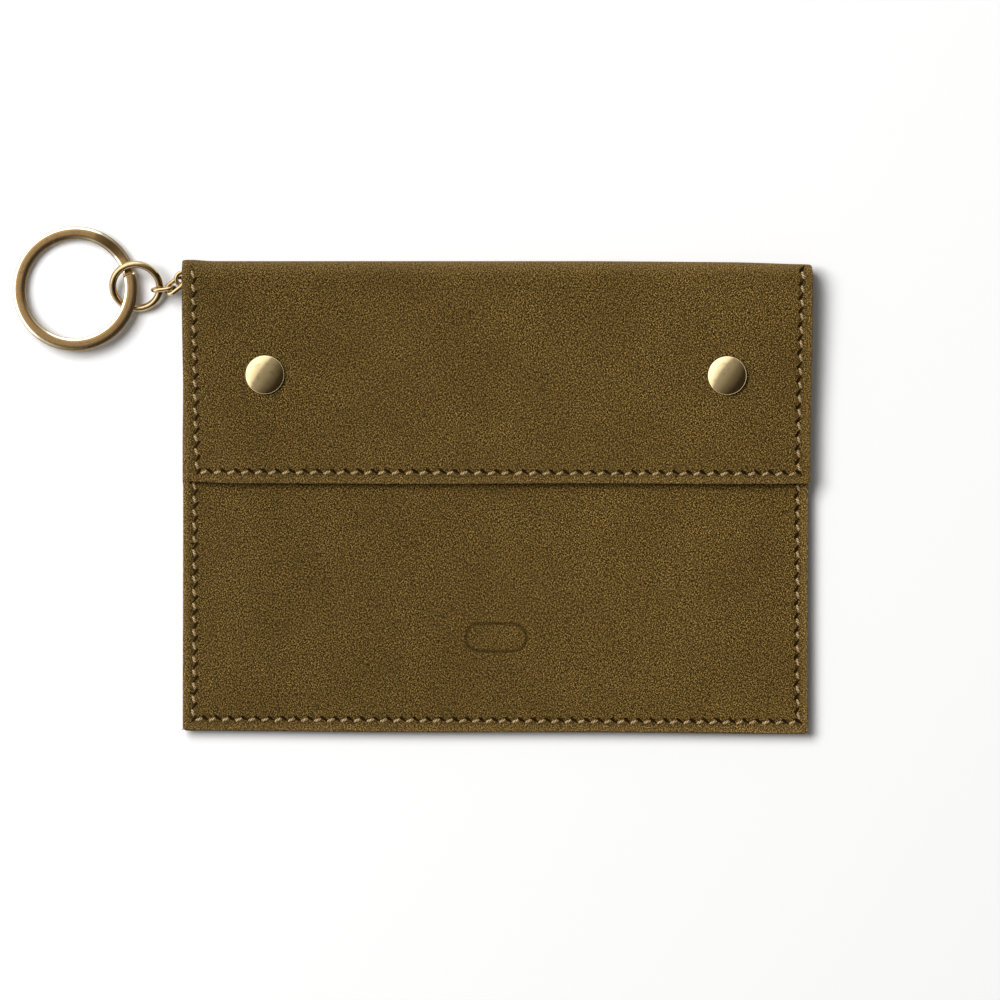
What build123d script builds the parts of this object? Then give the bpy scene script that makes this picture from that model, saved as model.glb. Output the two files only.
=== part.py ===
from build123d import *
from math import cos, pi, radians, sin
import os

os.makedirs("parts", exist_ok=True)

# ---- pouch, millimetres; back face on z = 0, fold towards +Y ----
HALF_W = 80.0            # half the pouch's width
BOTTOM_Y = -60.5         # bottom edge
MOUTH_Y = 47.0           # upper edge of the front wall
FLAP_Y = 3.3             # free edge of the flap
FOLD_Y = 55.3            # axis the back wall folds round into the flap
FOLD_Z = 5.1
LEATHER = 1.1            # suede split
LINING = 0.3             # woven lining
CORNER_R = 2.0

BACK_TOP = LEATHER + LINING          # pocket floor
POCKET_H = 4.2                       # room inside the pocket
PANEL_Z = BACK_TOP + POCKET_H + LINING + LEATHER   # outer face of the front wall
FLAP_Z = 2 * FOLD_Z                  # outer face of the flap
FLAP_UNDER = FLAP_Z - LEATHER        # suede meets lining in the flap
LINING_UNDER = FLAP_UNDER - LINING   # inner face of the flap's lining

# slopes of the front wall between its flat seam margin and its flat middle
SEAM_X, SEAM_Y = 76.0, -56.5
FLAT_X, FLAT_Y = 63.0, -41.0

# ---- stitching ----
STITCH_X = 77.2          # side rows
BODY_ROW_Y = -57.8       # bottom row
FLAP_ROW_Y = 6.3         # row along the flap's free edge
PITCH = 3.4
THREAD_W = 0.9
THREAD_R = 0.35
PROUD = 0.25             # thread standing above the suede
BEDDED = 0.1             # thread pressed into the suede

# ---- snaps ----
SNAP_X, SNAP_Y = 59.2, 31.2
POST_R = 1.4             # cap's post through the flap
EYELET_R = 1.2           # eyelet through the front wall

# ---- blind tool mark: a plain oval ring ----
MARK_Y, MARK_L, MARK_H, MARK_LINE, MARK_DEPTH = -36.0, 16.4, 8.0, 0.9, 0.25

# ---- chain tab ----
TAB_HOLE = (-72.15, 55.7)            # centre of the hole, x and y
TAB_TURN = 17.8                      # degrees the strap leans towards the fold
TAB_W, TAB_T, TAB_HOLE_R, TAB_TIP = 4.8, 1.2, 1.2, 2.4
TAB_LEVEL = 4.5                      # underside of the raised end

# ---- chain ----
WIRE_R = 0.55
BEND_R = 1.6             # link's end arc, on the wire's centre line
STRAIGHT = 2.3           # link's straight side
JUMP_R, JUMP_WIRE_R = 6.07, 0.925
JUMP_CUT = 1.4           # degrees of the jump ring's closed cut

# ---- split ring: flat wire wound twice, crossing over between two angles ----
RING_MID_R, BAND_W, BAND_T, COIL_GAP = 14.4, 3.2, 1.15, 0.05
CROSS_START, CROSS_END = 33.0, 70.0
UPPER_END, LOWER_END = 15.0, 75.0


def save(solid, label):
    """Write one piece to its own STEP file."""
    solid.label = label
    export_step(solid, f"parts/{label}.step")
    return solid


def wall_outline(top_y):
    """Rectangle of the pouch from its bottom edge to top_y, lower corners rounded."""
    with Locations((0, (top_y + BOTTOM_Y) / 2)):
        Rectangle(2 * HALF_W, top_y - BOTTOM_Y)
    fillet(vertices().group_by(Axis.Y)[0], CORNER_R)


def three_rows(row_y, top_y, width):
    """Side rows and lower row of a seam as flat bands."""
    for x in (-STITCH_X, STITCH_X):
        with Locations((x, (top_y + row_y) / 2)):
            Rectangle(width, top_y - row_y)
    with Locations((0, row_y)):
        Rectangle(2 * STITCH_X + width, width)


def stitch_columns(row_y, top_y):
    """Thread going through the layers, one circle a stitch."""
    rise = int((top_y - row_y - PITCH) / PITCH)
    across = round(2 * STITCH_X / PITCH)
    with Locations((0, row_y + PITCH * (rise + 1) / 2)):
        with GridLocations(2 * STITCH_X, PITCH, 2, rise):
            Circle(THREAD_R)
    with Locations((0, row_y)):
        with GridLocations(2 * STITCH_X / across, 1, across + 1, 1):
            Circle(THREAD_R)


def seam(row_y, top_y, under, over):
    """One thread: a band on each face and a column at every stitch."""
    with BuildPart() as thread:
        with BuildSketch(Plane.XY.offset(over - BEDDED)):
            three_rows(row_y, top_y, THREAD_W)
        extrude(amount=BEDDED + PROUD)
        with BuildSketch(Plane.XY.offset(under)):
            three_rows(row_y, top_y, THREAD_W)
        extrude(amount=BEDDED)
        with BuildSketch(Plane.XY.offset(under)):
            stitch_columns(row_y, top_y)
        extrude(amount=over - under)
    return thread.part


def pocket_form(skin):
    """Solid whose upper surface lies skin above the room inside the pocket."""
    reach = 3 * MOUTH_Y
    with BuildPart() as form:
        for z, x, y, r in ((BACK_TOP, SEAM_X, SEAM_Y, 6), (BACK_TOP + POCKET_H, FLAT_X, FLAT_Y, 12)):
            with BuildSketch(Plane.XY.offset(z + skin)):
                with Locations((0, (reach + y) / 2)):
                    RectangleRounded(2 * x, reach - y, r)
        loft()
        if skin > 0:
            with BuildSketch(Plane.XY.offset(BACK_TOP)):
                wall_outline(MOUTH_Y)
            extrude(amount=skin)
        with BuildSketch():
            with Locations((0, MOUTH_Y + reach / 2)):
                Rectangle(4 * HALF_W, reach)
        extrude(amount=2 * PANEL_Z, mode=Mode.SUBTRACT)
    return form.part


def round_piece(label, points, spin=360.0):
    """Turn an (r, z) outline round a snap's centre on both sides of the pouch."""
    for side, x in (("left", -SNAP_X), ("right", SNAP_X)):
        with BuildPart() as piece:
            with BuildSketch(Plane((x, SNAP_Y, 0), x_dir=(1, 0, 0), z_dir=(0, -1, 0))):
                with BuildLine():
                    Polyline(*points, close=True)
                make_face()
            revolve(axis=Axis((x, SNAP_Y, 0), (0, 0, 1)), revolution_arc=spin)
        save(piece.part, f"{label}_{side}")


# ---------------------------------------------------------------- threads
body_thread = seam(BODY_ROW_Y, MOUTH_Y - 1, 0, BACK_TOP + LINING + LEATHER)
save(body_thread, "body_stitching")

flap_thread = seam(FLAP_ROW_Y, FOLD_Y - 1, LINING_UNDER, FLAP_Z)
save(flap_thread, "flap_stitching")

# ------------------------------------------------------------- back wall
with BuildPart() as back_panel:
    with BuildSketch():
        wall_outline(FOLD_Y)
    extrude(amount=LEATHER)
    add(body_thread, mode=Mode.SUBTRACT)
save(back_panel.part, "back_panel")

with BuildPart() as back_lining:
    with BuildSketch(Plane.XY.offset(LEATHER)):
        wall_outline(FOLD_Y)
    extrude(amount=LINING)
    add(body_thread, mode=Mode.SUBTRACT)
save(back_lining.part, "back_lining")

# ------------------------------------------------------------ front wall
with BuildPart() as front_lining:
    add(pocket_form(LINING))
    add(pocket_form(0), mode=Mode.SUBTRACT)
    add(body_thread, mode=Mode.SUBTRACT)
save(front_lining.part, "front_lining")

with BuildPart() as front_panel:
    add(pocket_form(LINING + LEATHER))
    add(pocket_form(LINING), mode=Mode.SUBTRACT)
    add(body_thread, mode=Mode.SUBTRACT)
    # eyelet holes with a seat for each eyelet's flange behind the suede
    with BuildSketch(Plane.XY.offset(BACK_TOP + POCKET_H + LINING)):
        with GridLocations(2 * SNAP_X, 1, 2, 1):
            with Locations((0, SNAP_Y)):
                Circle(3.5)
    extrude(amount=0.3, mode=Mode.SUBTRACT)
    with BuildSketch(Plane.XY.offset(BACK_TOP + POCKET_H + LINING)):
        with GridLocations(2 * SNAP_X, 1, 2, 1):
            with Locations((0, SNAP_Y)):
                Circle(EYELET_R)
    extrude(amount=LEATHER, mode=Mode.SUBTRACT)
    # blind mark pressed into the suede
    with BuildSketch(Plane.XY.offset(PANEL_Z - MARK_DEPTH)):
        with Locations((0, MARK_Y)):
            SlotOverall(MARK_L, MARK_H)
            SlotOverall(MARK_L - 2 * MARK_LINE, MARK_H - 2 * MARK_LINE, mode=Mode.SUBTRACT)
    extrude(amount=MARK_DEPTH, mode=Mode.SUBTRACT)
save(front_panel.part, "front_panel")

# ---------------------------------------------------------- fold and flap


def half_tube(outer, inner):
    """Half tube round the fold's axis, open towards the flap and the back wall."""
    with BuildPart() as tube:
        with BuildSketch(Plane.YZ.offset(-HALF_W)):
            with Locations((FOLD_Y, FOLD_Z)):
                Circle(outer)
                Circle(inner, mode=Mode.SUBTRACT)
            with Locations((FOLD_Y - outer, FOLD_Z)):
                Rectangle(2 * outer, 3 * outer, mode=Mode.SUBTRACT)
        extrude(amount=2 * HALF_W)
    return tube.part


save(half_tube(FOLD_Z, FOLD_Z - LEATHER), "flap_fold")
save(half_tube(FOLD_Z - LEATHER, FOLD_Z - BACK_TOP), "flap_fold_lining")


def flap_sheet(under, thickness):
    """Flap layer with its two lower corners rounded and holes for the snap posts."""
    with BuildPart() as sheet:
        with BuildSketch(Plane.XY.offset(under)):
            with Locations((0, (FLAP_Y + FOLD_Y) / 2)):
                Rectangle(2 * HALF_W, FOLD_Y - FLAP_Y)
            fillet(vertices().group_by(Axis.Y)[0], CORNER_R)
            with Locations((-SNAP_X, SNAP_Y), (SNAP_X, SNAP_Y)):
                Circle(POST_R, mode=Mode.SUBTRACT)
        extrude(amount=thickness)
        add(flap_thread, mode=Mode.SUBTRACT)
    return sheet.part


save(flap_sheet(FLAP_UNDER, LEATHER), "flap_panel")
save(flap_sheet(LINING_UNDER, LINING), "flap_lining")

# ----------------------------------------------------------------- snaps
round_piece("snap_eyelet", (
    (0.8, PANEL_Z - LEATHER), (3.5, PANEL_Z - LEATHER), (3.5, PANEL_Z - 0.8),
    (EYELET_R, PANEL_Z - 0.8), (EYELET_R, PANEL_Z + 0.4), (0.8, PANEL_Z + 0.4),
))
round_piece("snap_stud", (
    (EYELET_R, PANEL_Z), (4.0, PANEL_Z), (4.0, PANEL_Z + 0.25), (3.6, PANEL_Z + 0.35),
    (1.7, PANEL_Z + 0.35), (1.7, PANEL_Z + 0.6), (1.9, PANEL_Z + 0.85),
    (1.7, PANEL_Z + 1.05), (1.3, PANEL_Z + 1.1), (0, PANEL_Z + 1.1),
    (0, PANEL_Z + 0.45), (EYELET_R, PANEL_Z + 0.45),
))
round_piece("snap_socket", (
    (POST_R, LINING_UNDER), (4.2, LINING_UNDER), (4.2, PANEL_Z + 0.7), (3.9, PANEL_Z + 0.45),
    (2.2, PANEL_Z + 0.45), (2.2, PANEL_Z + 0.8), (2.7, PANEL_Z + 0.8),
    (2.7, PANEL_Z + 1.15), (2.2, PANEL_Z + 1.15), (2.2, PANEL_Z + 1.5), (POST_R, PANEL_Z + 1.5),
))
round_piece("snap_spring", (
    (2.1, PANEL_Z + 0.8), (2.7, PANEL_Z + 0.8), (2.7, PANEL_Z + 1.15), (2.1, PANEL_Z + 1.15),
), spin=330.0)

for side, x in (("left", -SNAP_X), ("right", SNAP_X)):
    with BuildPart() as snap_cap:
        with BuildSketch(Plane((x, SNAP_Y, 0), x_dir=(1, 0, 0), z_dir=(0, -1, 0))):
            with BuildLine():
                crown = ThreePointArc(
                    (0, FLAP_Z + 2.0), (2.9, FLAP_Z + 1.55), (4.85, FLAP_Z + 0.45)
                )
                Polyline(
                    crown @ 1, (5.0, FLAP_Z + 0.25), (4.9, FLAP_Z), (POST_R, FLAP_Z),
                    (POST_R, PANEL_Z + 1.5), (2.0, PANEL_Z + 1.5), (2.0, PANEL_Z + 1.35),
                    (0.8, PANEL_Z + 1.35), (0.8, FLAP_Z), (0, FLAP_Z), crown @ 0,
                )
            make_face()
        revolve(axis=Axis((x, SNAP_Y, 0), (0, 0, 1)))
    save(snap_cap.part, f"snap_cap_{side}")

# ------------------------------------------------------------- chain tab
TAB_DIR = (-cos(radians(TAB_TURN)), sin(radians(TAB_TURN)), 0)
TAB_SIDE = (sin(radians(TAB_TURN)), cos(radians(TAB_TURN)), 0)
TAB_SECTION = Plane((*TAB_HOLE, 0), x_dir=TAB_DIR, z_dir=TAB_SIDE)
TAB_FLAT = Plane((*TAB_HOLE, BACK_TOP + TAB_T), x_dir=TAB_DIR, z_dir=(0, 0, 1))

with BuildPart() as tab_stitching:
    with BuildSketch(TAB_FLAT.offset(-BEDDED)):
        with Locations((-11.0, 0)):
            Rectangle(3.0, 3.2)
            Rectangle(2.0, 2.2, mode=Mode.SUBTRACT)
    extrude(amount=BEDDED + PROUD)
save(tab_stitching.part, "tab_stitching")

with BuildPart() as chain_tab:
    with BuildSketch(TAB_SECTION):
        with BuildLine():
            Polyline(
                (-13.0, BACK_TOP), (-8.6, BACK_TOP), (-3.4, TAB_LEVEL), (TAB_TIP, TAB_LEVEL),
                (TAB_TIP, TAB_LEVEL + TAB_T), (-3.8, TAB_LEVEL + TAB_T),
                (-9.1, BACK_TOP + TAB_T), (-13.0, BACK_TOP + TAB_T), close=True,
            )
        make_face()
    extrude(amount=TAB_W / 2, both=True)
    fillet(chain_tab.edges().filter_by(Axis.Z).group_by(Axis.X)[0], 1.4)
    with BuildSketch(Plane((*TAB_HOLE, TAB_LEVEL))):
        Circle(TAB_HOLE_R)
    extrude(amount=TAB_T, mode=Mode.SUBTRACT)
    add(tab_stitching.part, mode=Mode.SUBTRACT)
save(chain_tab.part, "chain_tab")

# ----------------------------------------------------------------- chain


def stance(centre, heading, pitch, roll):
    """Plane at centre: x along heading and pitch, y turned by roll about it, degrees."""
    h, p, r = radians(heading), radians(pitch), radians(roll)
    along = Vector(cos(h) * cos(p), sin(h) * cos(p), sin(p))
    level = Vector(-sin(h), cos(h), 0)
    across = level * cos(r) + along.cross(level) * sin(r)
    return Plane(centre, x_dir=along, z_dir=along.cross(across))


def link(plane):
    """Oval cable-chain link lying in the plane, long way along its x."""
    with BuildPart() as oval:
        with BuildLine(plane) as loop:
            near_side = Line((-STRAIGHT / 2, -BEND_R), (STRAIGHT / 2, -BEND_R))
            ThreePointArc(near_side @ 1, (STRAIGHT / 2 + BEND_R, 0), (STRAIGHT / 2, BEND_R))
            Line((STRAIGHT / 2, BEND_R), (-STRAIGHT / 2, BEND_R))
            ThreePointArc((-STRAIGHT / 2, BEND_R), (-STRAIGHT / 2 - BEND_R, 0), near_side @ 0)
        with BuildSketch(Plane(loop.line @ 0, z_dir=loop.line % 0)):
            Circle(WIRE_R)
        sweep()
    return oval.part


LINKS = {
    "chain_link_1": ((-74.9, 55.8, 5.1), 178, 0, 90),
    "chain_link_2": ((-79.04, 55.84, 5.42), 178.1, 8.33, -12.01),
    "chain_link_3": ((-82.07, 54.13, 5.17), 216.46, -15.28, 41.74),
    "chain_link_4": ((-85.03, 53.38, 3.97), 187.05, -5.24, 80.22),
}
for label, place in LINKS.items():
    save(link(stance(*place)), label)

JUMP = stance((-92.05, 53.95, 3.67), 0, 4.82, 23.01)
with BuildPart() as jump_ring:
    with BuildSketch(Plane(JUMP.origin, x_dir=JUMP.x_dir, z_dir=-JUMP.y_dir)):
        with Locations((JUMP_R, 0)):
            Circle(JUMP_WIRE_R)
    revolve(axis=Axis(JUMP.origin, JUMP.z_dir), revolution_arc=360 - JUMP_CUT)
save(jump_ring.part, "jump_ring")

# ------------------------------------------------------------ split ring
RING = stance((-107.79, 53.36, 2.73), 0, 2.99, -4.83)
UPPER_Z = (BAND_T + COIL_GAP) / 2


def band_plane(angle, height):
    """Cross-section of the band at an angle round the ring, facing along the wire."""
    outward = RING.x_dir * cos(radians(angle)) + RING.y_dir * sin(radians(angle))
    onward = RING.y_dir * cos(radians(angle)) - RING.x_dir * sin(radians(angle))
    centre = RING.origin + outward * RING_MID_R + RING.z_dir * height
    return Plane(centre, x_dir=outward, z_dir=onward)


def band_section(angle, height):
    """Flat wire's outline with eased edges."""
    with BuildSketch(band_plane(angle, height)) as section:
        RectangleRounded(BAND_W, BAND_T, 0.25)
    return section.sketch


RING_AXIS = Axis(RING.origin, RING.z_dir)
CROSSING = []
for i in range(7):
    share = i / 6
    rise = (1 - cos(pi * share)) / 2
    turn = CROSS_START + share * (CROSS_END - CROSS_START)
    CROSSING.append(band_section(turn, UPPER_Z * (2 * rise - 1)))

with BuildPart() as split_ring:
    upper = band_section(CROSS_END, UPPER_Z)
    revolve(upper, axis=RING_AXIS, revolution_arc=360 + UPPER_END - CROSS_END)
    lower = band_section(LOWER_END, -UPPER_Z)
    revolve(lower, axis=RING_AXIS, revolution_arc=360 + CROSS_START - LOWER_END)
    loft(CROSSING, ruled=True)
save(split_ring.part, "split_ring")
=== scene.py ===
import math

import bpy
import numpy as np
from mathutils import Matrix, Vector


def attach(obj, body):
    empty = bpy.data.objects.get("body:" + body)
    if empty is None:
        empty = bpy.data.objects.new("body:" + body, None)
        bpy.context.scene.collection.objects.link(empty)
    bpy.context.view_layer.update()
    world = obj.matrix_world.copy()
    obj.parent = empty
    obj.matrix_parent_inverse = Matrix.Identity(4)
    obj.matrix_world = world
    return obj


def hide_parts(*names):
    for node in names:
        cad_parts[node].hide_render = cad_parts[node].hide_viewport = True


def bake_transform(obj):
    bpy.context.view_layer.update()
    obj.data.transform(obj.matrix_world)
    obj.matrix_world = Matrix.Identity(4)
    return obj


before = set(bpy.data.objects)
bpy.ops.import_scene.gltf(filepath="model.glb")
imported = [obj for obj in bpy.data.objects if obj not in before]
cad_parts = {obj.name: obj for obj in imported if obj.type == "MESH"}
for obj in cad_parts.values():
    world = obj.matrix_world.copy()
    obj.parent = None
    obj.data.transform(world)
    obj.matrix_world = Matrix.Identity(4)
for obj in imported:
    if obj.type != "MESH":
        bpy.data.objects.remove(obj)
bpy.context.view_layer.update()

MM = 0.001
RNG = np.random.default_rng(11)

# ------------------------------------------------------------ sizes, mm
FOLD_Y, FOLD_Z = 55.3, 5.1
LEATHER, LINING = 1.1, 0.3
MOUTH_Y = 47.0
PANEL_Z = 7.0
SEAM_LIFT = 1.9
SEAM_Z = 2.8 + SEAM_LIFT
FLAP_Z = 10.2
SNAP_X, SNAP_Y = 59.2, 31.2
BOTTOM_Y = -60.5
BOTTOM_LEFT, BOTTOM_RIGHT = -59.8, BOTTOM_Y
FRONT_BOTTOM_Y = -60.4           # where the front wall's grid starts, before its edge wanders
FLAP_EDGE = 3.4
THREAD_R = 0.37
BODY_PITCH, FLAP_PITCH, TAB_PITCH = 3.4, 3.5, 1.35
EDGE_WEAR = 2.6                  # how far in from a raw edge the nap is rubbed
GRID, EDGE_GRID, EDGE_BAND = 1.6, 0.3, 5.0   # mesh steps inside and near an edge

BODY_SEAM = [(-77.1, 45.5), (-77.1, 3.0), (-77.2, -50.0), (-77.6, -57.0),
             (77.8, -57.9), (77.5, -50.0), (77.6, 3.0), (77.7, 45.5)]
FLAP_SEAM = [(-77.4, 58.6), (-77.3, 55.3), (-76.7, 17.2), (-76.3, 6.3),
             (77.8, 5.8), (77.6, 10.8), (78.0, 27.4), (78.8, 58.4)]


def smooth(t):
    """Ramp from 0 to 1 with level ends."""
    t = np.clip(t, 0.0, 1.0)
    return t * t * (3 - 2 * t)


def lerp(a, b, t):
    return a + (b - a) * t


def ripple(x, y, seed, size):
    """Gentle undulation between about -1 and 1, repeating nowhere on the pouch."""
    r = np.random.default_rng(seed)
    total = 0.0
    for _ in range(6):
        turn, phase = r.uniform(0, 2 * math.pi, 2)
        wave = size * r.uniform(0.7, 1.8)
        along = x * math.cos(turn) + y * math.sin(turn)
        total = total + np.sin(along * 2 * math.pi / wave + phase)
    return total / 3.4


# ---------------------------------------------------- outline of the hide
def left_edge(y):
    """Left side of the pouch; the flap's is a little further out near the fold."""
    body = lerp(-80.0, -80.15, smooth((3.0 - y) / 60))
    flap = lerp(-79.6, -80.15, smooth((y - 3.3) / 50))
    return np.where(y > 3.3, flap, body)


def right_edge(y):
    """Right side of the back and front walls."""
    return 80.3 + 0.1 * np.sin(y / 23.0)


def flap_right_edge(y):
    return lerp(80.6, 81.3, smooth((y - 3.3) / 52))


def bottom_edge(x):
    return lerp(BOTTOM_LEFT, BOTTOM_RIGHT, (x + 80) / 160) + 0.1 * np.sin(x / 17.0)


def flap_free_edge(x):
    return FLAP_EDGE + 0.6 * smooth((-x - 66) / 14) + 0.08 * np.sin(x / 13.0)


# ------------------------------------------------------------ mesh helpers
def make_object(name, verts, faces):
    """Smooth-shaded mesh object from points in millimetres."""
    mesh = bpy.data.meshes.new(name)
    mesh.from_pydata([tuple(v) for v in (np.asarray(verts, float) * MM)], [], faces)
    mesh.validate()
    mesh.update()
    mesh.polygons.foreach_set("use_smooth", [True] * len(mesh.polygons))
    obj = bpy.data.objects.new(name, mesh)
    bpy.context.scene.collection.objects.link(obj)
    return obj


def set_flat(obj, flat, tones):
    """Store the hide's flat coordinates as UV and its tones as point attributes."""
    mesh = obj.data
    uv = mesh.uv_layers.new(name="hide")
    index = np.empty(len(mesh.loops), np.int32)
    mesh.loops.foreach_get("vertex_index", index)
    uv.data.foreach_set("uv", (np.asarray(flat)[index] * MM).astype(np.float32).ravel())
    for label, values in tones.items():
        layer = mesh.attributes.new(label, "FLOAT", "POINT")
        layer.data.foreach_set("value", np.asarray(values, np.float32))


def grid_faces(rows, cols, offset=0, flip=False):
    faces = []
    for i in range(rows - 1):
        for j in range(cols - 1):
            a = offset + i * cols + j
            quad = (a, a + 1, a + cols + 1, a + cols)
            faces.append(quad[::-1] if flip else quad)
    return faces


def rim_loop(rows, cols):
    """Indices round the border of a grid, counter-clockwise in (col, row)."""
    loop = list(range(cols))
    loop += [i * cols + cols - 1 for i in range(1, rows)]
    loop += [(rows - 1) * cols + j for j in range(cols - 2, -1, -1)]
    loop += [i * cols for i in range(rows - 2, 0, -1)]
    return loop


def sheet_mesh(outer, flat, thickness, tones, flip):
    """Outer grid of points, an inner grid one thickness in, a rounded raw edge."""
    rows, cols = outer.shape[:2]
    du = np.gradient(outer, axis=1)
    dv = np.gradient(outer, axis=0)
    normal = np.cross(du, dv)
    normal /= np.maximum(np.linalg.norm(normal, axis=2, keepdims=True), 1e-9)
    if flip:
        normal = -normal
    inner = outer - normal * thickness
    loop = rim_loop(rows, cols)
    o, n = outer.reshape(-1, 3), inner.reshape(-1, 3)
    centre = o.mean(axis=0)
    normals = normal.reshape(-1, 3)
    bulge = []
    for k in range(len(loop)):
        before, after = o[loop[k - 1]], o[loop[(k + 1) % len(loop)]]
        along = after - before
        out = np.cross(along, normals[loop[k]])
        out /= max(np.linalg.norm(out), 1e-9)
        if np.dot(out, o[loop[k]] - centre) < 0:
            out = -out
        bulge.append(out)
    bulge = np.array(bulge)
    rings = [o[loop]]
    for share, swell in ((0.15, 0.10), (0.5, 0.17), (0.85, 0.10)):
        rings.append(lerp(o[loop], n[loop], share) + bulge * swell * min(1.0, thickness))
    rings.append(n[loop])
    verts = [o, n] + [rings[1], rings[2], rings[3]]
    total = len(o)
    faces = grid_faces(rows, cols, 0, flip) + grid_faces(rows, cols, total, not flip)
    count = len(loop)
    starts = [None, 2 * total, 2 * total + count, 2 * total + 2 * count, None]

    def at(ring, k):
        k %= count
        if ring == 0:
            return loop[k]
        if ring == 4:
            return total + loop[k]
        return starts[ring] + k

    for ring in range(4):
        for k in range(count):
            quad = (at(ring, k), at(ring + 1, k), at(ring + 1, k + 1), at(ring, k + 1))
            faces.append(quad[::-1] if flip else quad)
    f = flat.reshape(-1, 2)
    # the hide's pattern runs on over the raw edge and under it
    under = f + (f - f.mean(axis=0)) * thickness / 80
    between = [lerp(f[loop], under[loop], share) for share in (0.15, 0.5, 0.85)]
    flat_all = np.vstack([f, under] + between)
    length = np.concatenate([f[:, 1], f[:, 1]] + [f[loop][:, 1]] * 3)
    tones_all = {}
    for label, values in tones.items():
        t = values.reshape(-1)
        edge = t[loop]
        if label == "edge":
            edge = np.ones(count)
        tones_all[label] = np.concatenate([t, t] + [edge] * 3)
    return np.vstack(verts), faces, flat_all, tones_all, length


def sheet_object(name, verts, faces, flat, tones, cut_count=0):
    """Sheet as an object; its last cut_count faces are flat, where it is cut."""
    obj = make_object(name, verts, faces)
    for face in obj.data.polygons[len(obj.data.polygons) - cut_count:]:
        face.use_smooth = False
    set_flat(obj, flat, tones)
    return obj


def shell(name, outer, flat, thickness, tones, flip=False):
    """Closed sheet as one object."""
    return sheet_object(name, *sheet_mesh(outer, flat, thickness, tones, flip)[:4])


def cut_faces(rows, cols, row, ending):
    """Faces that close a sheet where it is cut along one row of its grid."""
    total, count = rows * cols, 2 * (rows + cols) - 4
    faces = []
    for a in range(row * cols, row * cols + cols - 1):
        faces.append((a + 1, a, total + a, total + a + 1))
    left = tuple(2 * total + ring * count + count - row for ring in range(3))
    right = tuple(2 * total + ring * count + cols - 1 + row for ring in range(3))
    a, b = row * cols, row * cols + cols - 1
    faces += [(a, *left, total + a), (total + b, *right[::-1], b)]
    return faces if ending else [face[::-1] for face in faces]


def cut_across(names, rows, cols, sheet, cuts):
    """The same sheet as several objects that meet edge to edge at the cuts along its length."""
    verts, faces, flat, tones, length = sheet
    groups = [[] for _ in names]
    for face in faces:
        groups[int(np.searchsorted(cuts, length[list(face)].mean()))].append(face)
    at_row = length[:rows * cols:cols]
    cut_rows = np.searchsorted((at_row[1:] + at_row[:-1]) / 2, cuts)
    pieces = []
    for k, (name, group) in enumerate(zip(names, groups)):
        ends = cut_faces(rows, cols, cut_rows[k - 1], False) if k > 0 else []
        ends += cut_faces(rows, cols, cut_rows[k], True) if k < len(cuts) else []
        group += ends
        used = np.unique(np.concatenate([np.array(face) for face in group]))
        place = np.full(len(verts), -1)
        place[used] = np.arange(len(used))
        renumbered = [tuple(int(place[i]) for i in face) for face in group]
        kept = {label: values[used] for label, values in tones.items()}
        pieces.append(sheet_object(name, verts[used], renumbered, flat[used], kept, len(ends)))
    return pieces


def lines(start, end, coarse, fine, margin, extra=()):
    """Grid lines from start to end, fine within margin of both ends and at the extra spans."""
    stops = list(np.arange(start, start + margin, fine))
    stops += list(np.arange(start + margin, end - margin, coarse))
    stops += list(np.arange(end - margin, end, fine)) + [end]
    for a, b, step in extra:
        stops = [s for s in stops if not a < s < b] + list(np.arange(a, b + step / 2, step))
    stops = np.unique(np.round(stops, 4))
    keep = [stops[0]]
    for s in stops[1:]:
        if s - keep[-1] > 0.04:
            keep.append(s)
    return np.array(keep)


def polyline_distance(x, y, path):
    """Shortest distance in the plane from each point to a seam."""
    best = np.full(x.shape, 1e9)
    for (ax, ay), (bx, by) in zip(path[:-1], path[1:]):
        dx, dy = bx - ax, by - ay
        t = np.clip(((x - ax) * dx + (y - ay) * dy) / (dx * dx + dy * dy), 0, 1)
        best = np.minimum(best, np.hypot(x - ax - t * dx, y - ay - t * dy))
    return best


def channel(distance, depth=0.30, width=0.70):
    """Dip the tight thread pulls into the suede."""
    return -depth * np.exp(-((distance / width) ** 2))


def roll_off(distance, reach=1.1, depth=0.32):
    """Raw edges fall away towards the cut."""
    return -depth * (1 - np.clip(distance / reach, 0, 1)) ** 2


# ------------------------------------------------------------ front wall
def hump(x, y):
    """Height of the front wall's outer face over the pocket, before its details."""
    return SEAM_Z + (PANEL_Z - SEAM_Z) * filled(x, y)


def filled(x, y):
    """0 along the three stitched sides, 1 over the pocket's middle."""
    inward_x = smooth((78.5 - np.abs(x)) / 21.0)
    inward_y = smooth((y + 59.5) / 24.0)
    return lerp(np.minimum(inward_x, inward_y), inward_x * inward_y, 0.5)


def back_lift(x, y):
    """The seams stand a little off the table; the lift runs out towards the fold."""
    return SEAM_LIFT * (1 - filled(x, y)) * smooth((50.0 - y) / 30.0)


def mark_dip(x, y):
    """Blind-tooled oval ring pressed into the front wall."""
    cx, cy, half_l, half_h, line = 0.3, -36.0, 8.2, 4.0, 0.9
    r = half_h
    px = np.maximum(np.abs(x - cx) - (half_l - r), 0)
    d = np.hypot(px, y - cy) - r
    inside = smooth((-d + 0.12) / 0.3) * smooth((d + line + 0.12) / 0.3)
    return inside


def front_top(x, y):
    seam = polyline_distance(x, y, BODY_SEAM)
    edge = np.minimum(np.minimum(x - left_edge(y), right_edge(y) - x), y - bottom_edge(x))
    z = hump(x, y) + channel(seam) + roll_off(np.maximum(edge, 0))
    middle = smooth((68 - np.abs(x)) / 10)
    z = z + 0.16 * ripple(x, y, 5, 60) * middle * smooth((y + 57) / 12)
    return z - 0.22 * mark_dip(x, y)


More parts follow.
